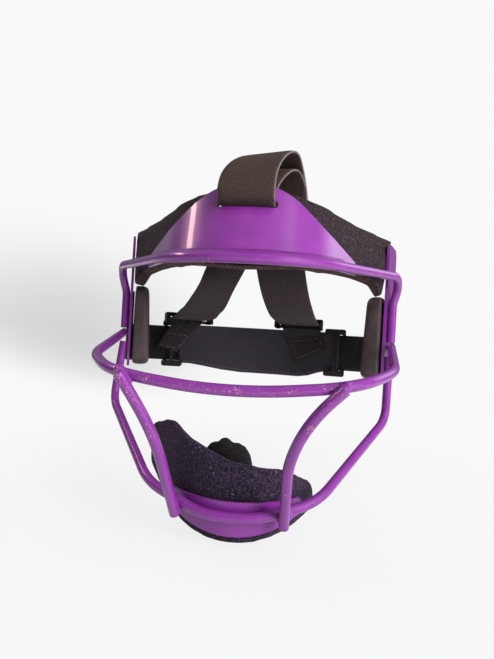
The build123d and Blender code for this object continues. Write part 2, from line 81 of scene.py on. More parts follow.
lens = bpy.data.cameras.new("camera")
lens.sensor_width = sensor_long_side_mm
lens.lens = focal_length_mm
lens.clip_start = 10 * mm
camera = bpy.data.objects.new("camera", lens)
bpy.context.scene.collection.objects.link(camera)
aim = Matrix.Rotation(camera_turn, 4, "Z") @ Matrix.Rotation(pi / 2, 4, "X")
camera.matrix_world = Matrix.Translation(camera_place) @ aim @ Matrix.Rotation(camera_roll, 4, "Z")
bpy.context.scene.camera = camera
print("camera at", tuple(round(v, 4) for v in camera_place))

# %% [markdown]
# ## Helpers for materials
#
# Colours are picked as sRGB hex values, as a paint chart gives them, and Blender's shaders want linear
# light, so one function converts them. A second function adds a node, sets its options and fills its
# sockets, with a plain value or with a link from another node's output.

# %% Helpers for materials
def linear(hex_colour):
    """An sRGB hex colour as linear red, green and blue."""
    channels = [int(hex_colour[i:i + 2], 16) / 255 for i in (1, 3, 5)]
    return [c / 12.92 if c <= 0.04045 else ((c + 0.055) / 1.055) ** 2.4 for c in channels]


def rgba(hex_colour):
    """The same colour with full alpha, as a colour socket takes it."""
    return (*linear(hex_colour), 1.0)


def add(tree, kind, inputs=None, **settings):
    """Adds one node with its settings, and sets or links its inputs."""
    made = tree.nodes.new("ShaderNode" + kind)
    for name, value in settings.items():
        setattr(made, name, value)
    for name, value in (inputs or {}).items():
        if isinstance(value, bpy.types.NodeSocket):
            tree.links.new(value, made.inputs[name])
        else:
            made.inputs[name].default_value = value
    return made


def new_material(name, **sockets):
    """An empty material with a Principled shader, and the plain values set on it."""
    material = bpy.data.materials.new(name)
    material.use_nodes = True
    tree = material.node_tree
    tree.nodes.clear()
    shader = add(tree, "BsdfPrincipled", {k.replace("_", " "): v for k, v in sockets.items()})
    add(tree, "OutputMaterial", {"Surface": shader.outputs["BSDF"]})
    return material, tree, shader


print("mid grey in linear light:", [round(c, 3) for c in linear("#808080")])

# %% [markdown]
# ## Powder coat
#
# The cage is mild steel rod and sheet with a baked powder coat: a thick, even, glossy purple plastic
# skin, slightly wavy like orange peel. Where it has rubbed against bats, bags and ground it is chipped
# through to a pink primer and to rusty steel, most of all on what stands furthest forward.
#
# The wear could be painted by hand. Here the chips are a noise that is raised by how far forward and how
# front facing a place is, and then cut off at a threshold, so they lie where the real guard meets the
# ground. A finer noise gives the pale scratches, on rubbed edges and on the foremost steel. On the
# plates' edges these scratches and chips also make a painted highlight along the round.

# %% Powder coat
# Depths in metres, forward being negative: where wear and scratches start, and where they are full
wear_start, wear_full = -0.080, -0.106
scratch_start, scratch_full = -0.1065, -0.1115


def powder_coat(name, wear):
    """Glossy purple powder coat, chipped where it is exposed. More wear gives more chips."""
    material, tree, shader = new_material(
        name, Roughness=0.32, IOR=1.5, Coat_Weight=0.6, Coat_Roughness=0.06
    )
    deep_purple, bright_purple = rgba("#6a257a"), rgba("#8f369c")
    pale_scratch, pink_primer, rust = rgba("#b070a8"), rgba("#c07fac"), rgba("#c06f4c")
    place = add(tree, "TexCoord").outputs["Object"]
    normal = add(tree, "NewGeometry").outputs["Normal"]
    depth = add(tree, "SeparateXYZ", {"Vector": place}).outputs["Y"]
    facing = add(tree, "SeparateXYZ", {"Vector": normal}).outputs["Y"]

    peel_size_m = 0.0016
    peel = add(tree, "TexNoise", {"Vector": place, "Scale": 1 / peel_size_m, "Detail": 1.0})
    chip_size_m = 0.0008
    chips = add(tree, "TexNoise", {"Vector": place, "Scale": 1 / chip_size_m, "Detail": 4.0})
    patch_size_m = 0.011
    patches = add(tree, "TexNoise", {"Vector": place, "Scale": 1 / patch_size_m, "Detail": 2.0})
    mottle_size_m = 0.012
    mottle = add(
        tree,
        "TexNoise",
        {"Vector": place, "Scale": 1 / mottle_size_m, "Detail": 6.0, "Roughness": 0.7},
    )
    scratch_size_m = 0.0006
    scratches = add(tree, "TexNoise", {"Vector": place, "Scale": 1 / scratch_size_m, "Detail": 3.0})

    foremost = add(
        tree, "MapRange", {"Value": depth, "From Min": scratch_start, "From Max": scratch_full}
    )
    place_weight = 0.2
    rubbed = add(
        tree,
        "Math",
        {0: foremost.outputs[0], 1: place_weight, 2: scratches.outputs["Fac"]},
        operation="MULTIPLY_ADD",
    )
    scratch_edge = 0.70 - wear / 3
    scratched = add(
        tree,
        "MapRange",
        {"Value": rubbed.outputs[0], "From Min": scratch_edge, "From Max": scratch_edge + 0.12},
    )
    forward = add(tree, "MapRange", {"Value": depth, "From Min": wear_start, "From Max": wear_full})
    front = add(tree, "MapRange", {"Value": facing, "From Min": 0.0, "From Max": -1.0})
    exposed = add(
        tree, "Math", {0: forward.outputs[0], 1: front.outputs[0]}, operation="MULTIPLY"
    )
    spread = add(
        tree, "Math", {0: chips.outputs["Fac"], 1: patches.outputs["Fac"]}, operation="ADD"
    )
    raised = add(
        tree,
        "Math",
        {0: exposed.outputs[0], 1: place_weight, 2: spread.outputs[0]},
        operation="MULTIPLY_ADD",
    )
    # The two noises add up to about 1, so only their peaks reach the edge of a chip
    chip_edge = 1.36 - wear
    rust_edge = chip_edge + 0.09
    chipped = add(
        tree,
        "MapRange",
        {"Value": raised.outputs[0], "From Min": chip_edge, "From Max": chip_edge + 0.03},
    )
    through = add(
        tree,
        "MapRange",
        {"Value": raised.outputs[0], "From Min": rust_edge, "From Max": rust_edge + 0.03},
    )

    colour = deep_purple
    for cover, tint in (
        (mottle.outputs["Fac"], bright_purple),
        (scratched.outputs[0], pale_scratch),
        (chipped.outputs[0], pink_primer),
        (through.outputs[0], rust),
    ):
        layer = add(tree, "Mix", {"Factor": cover, "A": colour, "B": tint}, data_type="RGBA")
        colour = layer.outputs["Result"]
    rough = add(
        tree, "MapRange", {"Value": chipped.outputs[0], "To Min": 0.3, "To Max": 0.65}
    )
    peel_depth = 0.3 * mm
    waves = add(
        tree, "Bump", {"Height": peel.outputs["Fac"], "Strength": 0.05, "Distance": peel_depth}
    )
    chip_depth = 0.2 * mm
    craters = add(
        tree,
        "Bump",
        {"Height": chipped.outputs[0], "Distance": chip_depth, "Normal": waves.outputs[0]},
        invert=True,
    )
    tree.links.new(colour, shader.inputs["Base Color"])
    tree.links.new(rough.outputs[0], shader.inputs["Roughness"])
    tree.links.new(craters.outputs[0], shader.inputs["Normal"])
    return material


coat = powder_coat("purple powder coat on mild steel", wear=0.0)
worn_edge = powder_coat("rubbed edge of the powder coat", wear=0.24)
# The plates' edges wear harder: real chips and scratches, and their pale line is also a painted highlight
plate_edge_wear_and_highlight = powder_coat("worn plate edge with painted highlight", wear=0.34)
print("coats:", coat.name, "/", worn_edge.name, "/", plate_edge_wear_and_highlight.name)

# %% [markdown]
# ## Steel
#
# The rods and plates keep their CAD shape. A coat of powder never leaves a sharp corner, so each of
# them gets a bevel. It could be cut into the mesh, but as a modifier it stays easy to change, and its
# faces can take the rubbed material, as edges wear first. On the plates that round is chipped and
# scratched paler than the rods' ends, which is wear and also a painted highlight along the edge.

# %% Steel
coat_radius = 0.45 * mm
plates = ["brow_plate", "left_side_plate", "right_side_plate", "chin_plate"]
rods = ["brow_wire", "eye_wire", "chin_wire", "left_cheek_wire", "right_cheek_wire"]


def dress(piece, *materials):
    """Gives a piece its materials, in place of those that it has."""
    slots = piece.data.materials
    slots.clear()
    for material in materials:
        slots.append(material)


def soften(piece, radius, edge_slot=-1):
    """Rounds a piece's corners with a modifier, and can give the round its own material."""
    bevel = piece.modifiers.new("soft corners", "BEVEL")
    bevel.width = radius
    bevel.segments = 2
    bevel.limit_method = "ANGLE"
    bevel.angle_limit = radians(40)
    bevel.material = edge_slot
    bevel.harden_normals = True


for rod in rods:
    dress(nodes[rod], coat, worn_edge)
    soften(nodes[rod], coat_radius, edge_slot=1)
for plate in plates:
    dress(nodes[plate], coat, plate_edge_wear_and_highlight)
    soften(nodes[plate], coat_radius, edge_slot=1)
print("coated:", len(rods), "rods and", len(plates), "plates")

# %% [markdown]
# ## Woven goods
#
# Elastic, ribbed tape and webbing are woven. The eye sees the ribs, the plainer edges (the selvedges)
# and a soft sheen from the loose fibres. An image of cloth would repeat, so the weave is two wave
# textures, one for the ribs and one for the yarns across them, made uneven by a noise. It is laid on by
# a UV map in real metres, so the ribs have the same spacing on every strap. A second map says how far
# across and along a point lies, for the selvedges.

# %% Woven materials
# A wave texture of scale 1 repeats its bands after these lengths, in the units of its vector
straight_repeat = 0.314
diagonal_repeat = 0.444


def woven(
    name, dark, light, rib_m, roughness=0.85, selvedge=None, sheen=0.25, twill=1.0, tint=None
):
    """Cloth woven in ribs a given distance apart, with a plainer edge on both sides.

    The twill is 1 or -1 for ribs that climb to one side or the other, and 0 for level ribs.
    """
    material, tree, shader = new_material(
        name,
        Roughness=roughness,
        IOR=1.45,
        Sheen_Weight=sheen,
        Sheen_Roughness=0.4,
        Sheen_Tint=rgba(tint or light),
    )
    flat_map = add(tree, "UVMap", uv_map="Weave").outputs["UV"]
    weave = add(
        tree, "VectorMath", {0: flat_map, 1: (twill or 1.0, 1.0, 1.0)}, operation="MULTIPLY"
    ).outputs[0]
    share = add(tree, "UVMap", uv_map="Share").outputs["UV"]
    across = add(tree, "SeparateXYZ", {"Vector": share}).outputs["X"]
    from_middle = add(tree, "Math", {0: across}, operation="ABSOLUTE")
    rib_scale = (diagonal_repeat if twill else straight_repeat) / rib_m
    waviness = {"Distortion": 0.5, "Detail": 2.0, "Detail Scale": 3.0}
    ribs = add(
        tree,
        "TexWave",
        {"Vector": weave, "Scale": rib_scale, **waviness},
        bands_direction="DIAGONAL" if twill else "Y",
        wave_profile="SIN",
    )
    yarn_m = 0.0007
    yarns = add(
        tree,
        "TexWave",
        {"Vector": weave, "Scale": straight_repeat / yarn_m, "Distortion": 0.4, "Detail": 1.0},
        bands_direction="X",
        wave_profile="SIN",
    )
    slub_m = 1 / 700
    cloud = add(tree, "TexNoise", {"Vector": weave, "Scale": 1 / slub_m, "Detail": 2.0})
    thick = add(tree, "MapRange", {"Value": cloud.outputs["Fac"], "To Min": 0.45, "To Max": 0.85})
    height = add(
        tree,
        "Math",
        {0: yarns.outputs["Fac"], 1: 0.55, 2: ribs.outputs["Fac"]},
        operation="MULTIPLY_ADD",
    )
    lit = add(
        tree, "Math", {0: height.outputs[0], 1: thick.outputs[0]}, operation="MULTIPLY"
    )
    ramp = add(tree, "MapRange", {"Value": lit.outputs[0], "From Min": 0.25, "From Max": 0.95})
    body = add(
        tree,
        "Mix",
        {"Factor": ramp.outputs[0], "A": rgba(dark), "B": rgba(light)},
        data_type="RGBA",
    )
    selvedge_start, selvedge_full = 0.945, 0.97
    edge = add(
        tree,
        "MapRange",
        {"Value": from_middle.outputs[0], "From Min": selvedge_start, "From Max": selvedge_full},
    )
    colour = add(
        tree,
        "Mix",
        {"Factor": edge.outputs[0], "A": body.outputs["Result"], "B": rgba(selvedge or light)},
        data_type="RGBA",
    )
    rib_depth = 0.2 * mm
    bump = add(tree, "Bump", {"Height": height.outputs[0], "Strength": 0.7, "Distance": rib_depth})
    tree.links.new(colour.outputs["Result"], shader.inputs["Base Color"])
    tree.links.new(bump.outputs[0], shader.inputs["Normal"])
    return material


# Twill elastic has fine slanting ribs about 1 mm apart, and looks matt and a little dusty
top_elastic = woven("brown black twill elastic", "#1d1312", "#574840", 0.0010, selvedge="#675b5d")
crown_elastic = woven(
    "black twill elastic", "#0b0608", "#54464b", 0.0011, selvedge="#3a2f33", twill=-1.0
)
# Satin elastic is smoother, and its long floating yarns give it a soft bluish shine
band_elastic = woven(
    "black satin elastic", "#0c080c", "#4a434f", 0.0014, 0.55, sheen=0.5, tint="#5c5870"
)
# Ribbed tape and nylon webbing have level ribs. The webbing is tight and dense, so it stays near black
tab_elastic = woven("black ribbed tape", "#0b0709", "#3f343a", 0.0011, 0.75, twill=0.0)
harness_webbing = woven(
    "black nylon webbing", "#030303", "#0d0b0c", 0.0016, 0.5, sheen=0.05, twill=0.0
)
# Polyester thread is spun from bright, shiny filaments. The black thread is coloured grey as a painted
# sheen, so a stitch looks greyer than the cloth round it
thread, _, _ = new_material("black polyester thread with painted sheen", Roughness=0.5, Base_Color=rgba("#6a5d64"))
woven_goods = (top_elastic, crown_elastic, band_elastic, tab_elastic, harness_webbing)
print("woven:", ", ".join(goods.name for goods in woven_goods), "and", thread.name)

# %% [markdown]
# ## Strips
#
# A strap is a thin closed strip swept along its route, whose points follow the CAD strap. A curve
# object with a bevel would keep one width, and a flat plane with a thickness would have sharp edges, so
# the strip is built from sections. Each one has a centre, a side vector along the width, and the width
# there. The faces between sections carry the UVs, and the function that placed the vertices is
# returned too, because the stitches have to lie on the same surface.

# %% Paths
def smooth_path(points, per_span=6):
    """A smooth curve through points of any dimension, evenly divided between them."""
    points = np.array(points, dtype=float)
    ends = [2 * points[0] - points[1], *points, 2 * points[-1] - points[-2]]
    path = []
    for before, start, end, after in zip(ends, ends[1:], ends[2:], ends[3:]):
        for t in np.linspace(0, 1, per_span, endpoint=False):
            path.append(
                0.5
                * (
                    2 * start
                    + (end - before) * t
                    + (2 * before - 5 * start + 4 * end - after) * t**2
                    + (3 * start - before - 3 * end + after) * t**3
                )
            )
    path.append(points[-1])
    return np.array(path)


def rounded_path(points, radii, step=0.6):
    """Straight runs joined by arcs, as closely spaced points in the given units."""
    points = [np.array(p, dtype=float) for p in points]
    path = [points[0]]
    for before, corner, after, radius in zip(points, points[1:], points[2:], radii):
        back = (before - corner) / np.linalg.norm(before - corner)
        on = (after - corner) / np.linalg.norm(after - corner)
        half = np.arccos(np.clip(back @ on, -1, 1)) / 2
        centre = corner + (back + on) / np.linalg.norm(back + on) * radius / np.sin(half)
        first = (corner + back * radius / np.tan(half) - centre) / radius
        last = (corner + on * radius / np.tan(half) - centre) / radius
        sweep = pi - 2 * half
        for t in np.linspace(0, 1, 7):
            ray = (sin((1 - t) * sweep) * first + sin(t * sweep) * last) / sin(sweep)
            path.append(centre + radius * ray)
    path.append(points[-1])
    dense = [path[0]]
    for start, end in zip(path, path[1:]):
        count = max(1, int(np.linalg.norm(end - start) / step))
        dense += [start + (end - start) * (k + 1) / count for k in range(count)]
    return np.array(dense)


print("a smooth path through 4 points has", len(smooth_path([[0], [1], [3], [6]])), "points")

# %% Mesh from points
def mesh_object(name, points, faces, *materials):
    """A smooth shaded object from points in metres and faces."""
    mesh = bpy.data.meshes.new(name)
    mesh.from_pydata([tuple(p) for p in points], [], faces)
    shape = bmesh.new()
    shape.from_mesh(mesh)
    bmesh.ops.recalc_face_normals(shape, faces=shape.faces)
    shape.to_mesh(mesh)
    shape.free()
    mesh.polygons.foreach_set("use_smooth", [True] * len(mesh.polygons))
    for material in materials:
        mesh.materials.append(material)
    made = bpy.data.objects.new(name, mesh)
    bpy.context.scene.collection.objects.link(made)
    return made


print("meshes so far:", len(bpy.data.meshes))

# %% Strips
edge_power = 12


def strip(name, path, sides, widths, thickness, material, sag=None, columns=14):
    """A thin strip along a path in mm, with rounded edges and a UV map in real metres.

    The sag is a function of the shares along and across that lifts the surface, in mm.
    A higher edge power keeps the strip's thickness closer to its edges.
    """
    path = np.array(path, dtype=float)
    sides = np.array(sides, dtype=float)
    sides = sides / np.linalg.norm(sides, axis=1)[:, None]
    widths = np.broadcast_to(np.array(widths, dtype=float), (len(path),))
    runs = np.linalg.norm(np.diff(path, axis=0), axis=1)
    lengths = np.concatenate([[0], np.cumsum(runs)])
    length = lengths[-1]
    tangents = np.gradient(path, lengths, axis=0)
    outward = np.cross(tangents, sides)
    outward /= np.linalg.norm(outward, axis=1)[:, None]

    def surface(along, across, lift):
        """The place at a share along (0 to 1) and across (-1 to 1), lifted off the middle."""
        run = along * length
        place, side, out = (
            np.array([np.interp(run, lengths, v[:, k]) for k in range(3)])
            for v in (path, sides, outward)
        )
        half = np.interp(run, lengths, widths) / 2
        raise_mm = lift + (sag(along, across) if sag else 0.0)
        return (place + side * half * across + out * raise_mm) * mm

    # The ring of a section goes across on the upper face and back on the lower one
    shares = [cos(pi * k / columns) for k in range(columns + 1)]
    ring = [(c, 1) for c in shares] + [(c, -1) for c in shares[-2:0:-1]]
    points, spots = [], []
    stations = len(path)
    for index in range(stations):
        along = lengths[index] / length
        for across, face in ring:
            thin = (1 - abs(across) ** edge_power) ** 0.5
            points.append(surface(along, across, face * thin * thickness / 2))
            spots.append((across * widths[index] / 2 * mm, lengths[index] * mm, across, along))
    count = len(ring)
    faces = [tuple(range(count)), tuple(range((stations - 1) * count, stations * count))]
    for index in range(stations - 1):
        low = index * count
        for k in range(count):
            other = (k + 1) % count
            faces.append((low + k, low + other, low + count + other, low + count + k))
    made = mesh_object(name, points, faces, material)
    for layer_name, pick in (("Weave", (0, 1)), ("Share", (2, 3))):
        layer = made.data.uv_layers.new(name=layer_name)
        for loop in made.data.loops:
            spot = spots[loop.vertex_index]
            layer.data[loop.index].uv = (spot[pick[0]], spot[pick[1]])
    return made, surface


print("a strip keeps", round((1 - 0.8**edge_power) ** 0.5, 2), "of its thickness at 0.8 of its half width")

# %% Stitches
def stitch_row(surface, start, end, lift, length=2.3, gap=1.0, radius=0.24):
    """Places of the stitches of one row, each as two ends on the surface, in metres."""
    first, last = (np.array(surface(*spot, lift)) for spot in (start, end))
    count = max(1, int(np.linalg.norm(last - first) / mm / (length + gap)))
    row = []
    for k in range(count):
        ends = []
        for part in (k, k + length / (length + gap)):
            t = part / count
            along = start[0] + (end[0] - start[0]) * t
            across = start[1] + (end[1] - start[1]) * t
            ends.append(np.array(surface(along, across, lift)))
        row.append((ends[0], ends[1], radius * mm))
    return row


stitch_rings = ((0.0, 0.45), (0.2, 1.0), (0.8, 1.0), (1.0, 0.45))


def stitches(name, rows):
    """All the stitches of a piece as one object: for each a six sided bead of four rings."""
    points, faces = [], []
    for start, end, radius in (s for row in rows for s in row):
        axis = Vector(end - start)
        turn = axis.to_track_quat("Z", "Y")
        base = len(points)
        for share, size in stitch_rings:
            for k in range(6):
                angle = k * pi / 3
                spot = Vector((cos(angle), sin(angle), 0)) * radius * size
                points.append(Vector(start) + axis * share + turn @ spot)
        for row in range(len(stitch_rings) - 1):
            for k in range(6):
                low, other = base + row * 6, (k + 1) % 6
                faces.append((low + k, low + other, low + 6 + other, low + 6 + k))
        faces += [tuple(range(base, base + 6)), tuple(range(len(points) - 6, len(points)))]
    made = mesh_object(name, points, faces, thread)
    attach(made, root)
    return made


print("rings in a stitch:", len(stitch_rings))

# %% Strap measures
def side_vectors(turns):
    """Level side vectors from turns about the vertical, in degrees."""
    return [(cos(radians(t)), -sin(radians(t)), 0.0) for t in turns]


def path_length(path):
    """The length of a path given in mm, in metres."""
    return float(np.linalg.norm(np.diff(np.array(path), axis=0), axis=1).sum()) * mm


print("a side vector turned by 30 degrees:", [round(v, 3) for v in side_vectors([30])[0]])

# %% [markdown]
# ## Top strap
#
# The top strap is one loop of 27 mm elastic through the brow plate's slot. Its two ends are sewn to
# the crown straps, which run down the back of the head through a slider each and are sewn to tabs on
# the rear band. The loop stands up over the head by its own stiffness. A simulation could find that
# shape, but the photograph already shows it, so the route and the turns along it are listed.

# %% Top strap
slot_centre_z = 59.6
top_route = [
    (17.0, -36.0, 57.0),
    (16.5, -36.2, 66.0),
    (15.5, -38.5, 76.0),
    (13.3, -46.0, 85.0),
    (10.8, -57.0, 89.5),
    (7.8, -68.0, 87.2),
    (4.0, -78.5, 80.8),
    (1.0, -84.5, 73.0),
    (0.0, -86.2, slot_centre_z + 5.6),
    (0.0, -84.8, slot_centre_z + 0.9),
    (0.0, -80.0, slot_centre_z - 0.65),
    (0.0, -75.6, slot_centre_z + 0.2),
    (0.0, -72.6, slot_centre_z + 4.4),
    (1.0, -70.6, 71.0),
    (4.5, -66.5, 77.5),
    (8.5, -59.5, 82.0),
    (12.0, -51.0, 82.5),
    (15.0, -43.8, 76.0),
    (16.0, -41.2, 66.0),
    (16.5, -41.0, 57.0),
]
top_turns = [12, 12, 13, 16, 19, 18, 14, 8, 2, 0, 0, 0, 0, 1, 4, 9, 13, 13, 12, 12]
strap_width = 27.0
strap_thickness = 1.7

smooth_top = smooth_path(top_route)
top_strap, _ = strip(
    "top_strap_elastic",
    smooth_top,
    side_vectors(smooth_path([[t] for t in top_turns])[:, 0]),
    strap_width,
    strap_thickness,
    top_elastic,
)
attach(top_strap, root)
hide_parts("top_strap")
print("top strap:", round(path_length(smooth_top), 3), "m of elastic")

# %% [markdown]
# ## Rear band
#
# The rear band is wide satin elastic with one row of stitches along its lower edge. Seen from above it
# is two straight runs that slope forward from a soft bend in the middle, and it is wider there than at
# its ends. So it is a strip whose upper edge is level and whose lower edge follows a few shares along
# the band: 0 where it has its full width and 1 where it has narrowed for the sliders. A slight wave
# keeps the elastic from looking like sheet metal.

# %% Rear band
band_level = -13.0
band_apex = 44.0
band_angle = 7.2
band_slope = radians(band_angle)
band_layer = -0.825
band_width = 33.0
band_end_width = 28.4
band_thickness = 1.5


def on_band(along, behind, side=1):
    """A plan point on the band's line: a distance from the middle, and a step behind the line."""
    x = along + sin(band_slope) * behind
    y = band_apex - along * tan(band_slope) + cos(band_slope) * behind
    return (side * x, y)


band_ends = 58.0
band_bend_radius = 150.0
band_plan = rounded_path(
    [
        on_band(band_ends, band_layer, -1),
        (0, band_apex + band_layer / cos(band_slope)),
        on_band(band_ends, band_layer),
    ],
    [band_bend_radius],
    step=1.5,
)
band_top = band_level + band_end_width / 2
band_low_end = band_level - band_end_width / 2
band_low_middle = band_top - band_width
narrowing_places = [-50.0, -40.0, -26.0, -12.0, 30.0, 37.0, 43.0, 47.0]
narrowing_shares = [1.0, 0.72, 0.25, 0.0, 0.0, 0.25, 0.75, 1.0]
narrowed = np.interp(band_plan[:, 0], narrowing_places, narrowing_shares)
low_edge = band_low_middle + (band_low_end - band_low_middle) * narrowed


def band_wave(along, across):
    """A slight wave of the band's edges, in mm, that fades towards its ends."""
    return 0.25 * sin(along * 37.0) * across**2 * sin(pi * along)


band_path = [(x, y, (band_top + low) / 2) for (x, y), low in zip(band_plan, low_edge)]
rear_band, band_surface = strip(
    "rear_band_elastic",
    band_path,
    [(0, 0, 1)] * len(band_path),
    band_top - low_edge,
    band_thickness,
    band_elastic,
    sag=band_wave,
)
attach(rear_band, root)
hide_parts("rear_band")
seam_across = -0.86
band_row = stitch_row(
    band_surface,
    (0.03, seam_across),
    (0.97, seam_across),
    lift=0.78,
    length=1.6,
    gap=1.1,
    radius=0.16,
)
stitches("rear_band_stitches", [band_row])
print("rear band:", round(path_length(band_path), 3), "m")

# %% [markdown]
# ## Side webbing
#
# On each side stiff nylon webbing runs from behind the rear band to the side plate, round the bar that
# closes the plate's slot and back onto itself. Its folds are tight, so the route is straight runs
# joined by small arcs, and not a smooth curve, which would swing wide of the plate.

# %% Side webbing
temple_half_width = 82.9
temple_depth = 2.0
temple_flare = radians(20)


def on_plate(along, outward, side=1):
    """A plan point on a side plate: back along it and out from its inner face."""
    x = temple_half_width + sin(temple_flare) * along + cos(temple_flare) * outward
    y = temple_depth + cos(temple_flare) * along - sin(temple_flare) * outward
    return (side * x, y)


webbing_width = 25.0
webbing_thickness = 1.4
webbing_layer = 0.725
layer_gap = 0.05
for side_name, side in (("left", -1), ("right", 1)):
    plan = rounded_path(
        [
            on_band(46.0, webbing_layer, side),
            on_band(82.0, webbing_layer, side),
            on_plate(17.95, -2.35, side),
            on_plate(17.95, 2.55, side),
            on_plate(11.45, 2.55, side),
            on_plate(11.45, -0.95, side),
            on_plate(16.95, -2.35, side),
        ],
        [6.0, 1.0, 1.0, 1.0, 1.0],
        step=1.0,
    )
    path = [(x, y, band_level) for x, y in plan]
    webbing, _ = strip(
        side_name + "_harness_webbing",
        path,
        [(0, 0, 1)] * len(path),
        webbing_width,
        webbing_thickness - layer_gap,
        harness_webbing,
        columns=10,
    )
    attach(webbing, root)
    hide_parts(side_name + "_side_webbing")
print("webbing:", round(path_length(path), 3), "m a side")

# %% [markdown]
# ## Crown straps and anchor tabs
#
# Two crown straps of twill elastic run from the top strap's ends down to the rear band. Each ends on a
# tab, a short ribbed tape that is folded down over the band's front and stitched on. A worn strap
# twists and draws in where it bends, so its route, its turns about the vertical and its widths are
# three lists along its length. The route stays straight where the slider travels.

# %% Crown straps and anchor tabs
crown_routes = {
    "left": [
        (0.0, -39.6, 66.0),
        (-2.0, -41.2, 56.0),
        (-7.0, -44.0, 46.0),
        (-12.5, -44.5, 36.5),
        (-18.5, -40.0, 24.5),
        (-29.0, -19.0, 13.0),
        (-34.25, -10.25, 9.5),
        (-39.5, -1.5, 6.0),
    ],
    "right": [
        (16.8, -38.6, 67.0),
        (16.8, -38.7, 57.0),
        (15.5, -42.5, 46.0),
        (16.0, -42.5, 35.0),
        (19.0, -36.5, 21.5),
        (22.5, -28.0, 12.0),
        (25.0, -15.0, 8.0),
    ],
}
crown_turns = {
    "left": [12, 14, 18, 8, -18, -22, -14.6, -band_angle],
    "right": [12, 12, 8, 6, band_angle, band_angle, band_angle],
}
crown_widths = {"left": [27, 27, 26, 23, 21, 25, 26, 27, 27], "right": [strap_width] * 8}
# Each tab's place along the band, half width, top level, and how far its front stands off the band
tab_places = {"left": (-52.0, 10.5, 5.0, 5.3), "right": (31.0, 13.5, 5.0, 2.7)}
# The left and right corner of each tab's cut end: how far across from the tab's place, and its level
tab_ends = {
    "left": ((-22.0, -15.5), (-7.5, -19.0)),
    "right": ((-4.0, -22.5), (18.0, -11.0)),
}
tab_reach = 14.4
tab_shoulder = 7.5
tab_thickness = 1.9
fold_height = 2.0
tab_seam_lift = 1.0

for side_name, side in (("left", -1), ("right", 1)):
    place, half_width, top, stand = tab_places[side_name]
    (left_x, left_z), (right_x, right_z) = tab_ends[side_name]
    seat = np.array([*on_band(abs(place), 0.0, side), 0.0])
    across = np.array([cos(band_slope), -side * sin(band_slope), 0.0])
    forward = np.array([-side * sin(band_slope), -cos(band_slope), 0.0])
    foot_z = (left_z + right_z) / 2
    profile = rounded_path(
        [(tab_reach, top), (tab_shoulder, top), (stand, top - tab_shoulder), (stand, foot_z)],
        [3.0, 3.0],
        step=1.2,
    )
    fold_z = top - fold_height
    fall = np.clip((fold_z - profile[:, 1]) / (fold_z - foot_z), 0, 1)
    sweep = (left_x + right_x) / 2 * fall
    skew = (right_z - left_z) * fall
    path = [
        seat + across * dx + forward * u + np.array([0, 0, v])
        for dx, (u, v) in zip(sweep, profile)
    ]
    widths = 2 * half_width + (right_x - left_x - 2 * half_width) * fall
    tab, tab_surface = strip(
        side_name + "_sewn_tab",
        path,
        [across * w + np.array([0, 0, dz]) for w, dz in zip(widths, skew)],
        np.hypot(widths, skew),
        tab_thickness,
        tab_elastic,
        columns=10,
    )
    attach(tab, root)
    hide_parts(side_name + "_anchor_tab")
    rows = [
        stitch_row(tab_surface, (0.6, -0.8), (0.6, 0.8), tab_seam_lift),
        stitch_row(tab_surface, (0.94, -0.8), (0.92, 0.8), tab_seam_lift),
        stitch_row(tab_surface, (0.62, 0.82), (0.9, 0.82), tab_seam_lift),
    ]
    stitches(side_name + "_tab_stitches", rows)

    strap_end = seat + forward * (tab_reach + layer_gap) + np.array([0, 0, top])
    route = smooth_path(crown_routes[side_name] + [tuple(strap_end)])
    turns = smooth_path([[t] for t in crown_turns[side_name] + [side * band_angle]])[:, 0]
    wide = smooth_path([[w] for w in crown_widths[side_name]])[:, 0]
    crown, _ = strip(
        side_name + "_crown_elastic",
        route,
        side_vectors(turns),
        wide,
        strap_thickness,
        crown_elastic,
    )
    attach(crown, root)
    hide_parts(side_name + "_crown_strap")
print("crown straps and tabs:", len(crown_routes), "each")

# %% [markdown]
# ## Pads
#
# The pads are foam in a skin. The brow pad is brushed cloth with a terry lining towards the head, the
# temple cushions are smooth imitation leather, and the chin pad is looped fleece. A nap scatters light,
# so such cloth has no highlight but a pale rim, which the shader's sheen gives. Hair particles would be
# heavy here, so the loops are a noise that drives both colour and bump, with flecks of lint on top.

# %% Napped cloth
def speckled(
    name, dark, light, fleck, size_m, fleck_share, roughness=0.95, sheen=0.5, depth=0.0006
):
    """Napped cloth: soft loops of a given size, and a few lighter flecks of lint."""
    material, tree, shader = new_material(
        name,
        Roughness=roughness,
        IOR=1.4,
        Sheen_Weight=sheen,
        Sheen_Roughness=0.5,
        Sheen_Tint=rgba(light),
    )
    place = add(tree, "TexCoord").outputs["Object"]
    loops = add(
        tree, "TexNoise", {"Vector": place, "Scale": 1 / size_m, "Detail": 5.0, "Roughness": 0.7}
    )
    tufts = add(tree, "TexVoronoi", {"Vector": place, "Scale": 0.8 / size_m})
    flecks = add(tree, "TexNoise", {"Vector": place, "Scale": 0.6 / size_m, "Detail": 2.0})
    tone = add(
        tree, "MapRange", {"Value": loops.outputs["Fac"], "From Min": 0.42, "From Max": 0.64}
    )
    body = add(
        tree,
        "Mix",
        {"Factor": tone.outputs[0], "A": rgba(dark), "B": rgba(light)},
        data_type="RGBA",
    )
    lint_start = 1 - fleck_share
    some = add(
        tree,
        "MapRange",
        {"Value": flecks.outputs["Fac"], "From Min": lint_start, "From Max": lint_start + 0.03},
    )
    colour = add(
        tree,
        "Mix",
        {"Factor": some.outputs[0], "A": body.outputs["Result"], "B": rgba(fleck)},
        data_type="RGBA",
    )
    height = add(
        tree,
        "Math",
        {0: loops.outputs["Fac"], 1: tufts.outputs["Distance"]},
        operation="ADD",
    )
    bump = add(tree, "Bump", {"Height": height.outputs[0], "Strength": 0.8, "Distance": depth})
    tree.links.new(colour.outputs["Result"], shader.inputs["Base Color"])
    tree.links.new(bump.outputs[0], shader.inputs["Normal"])
    return material


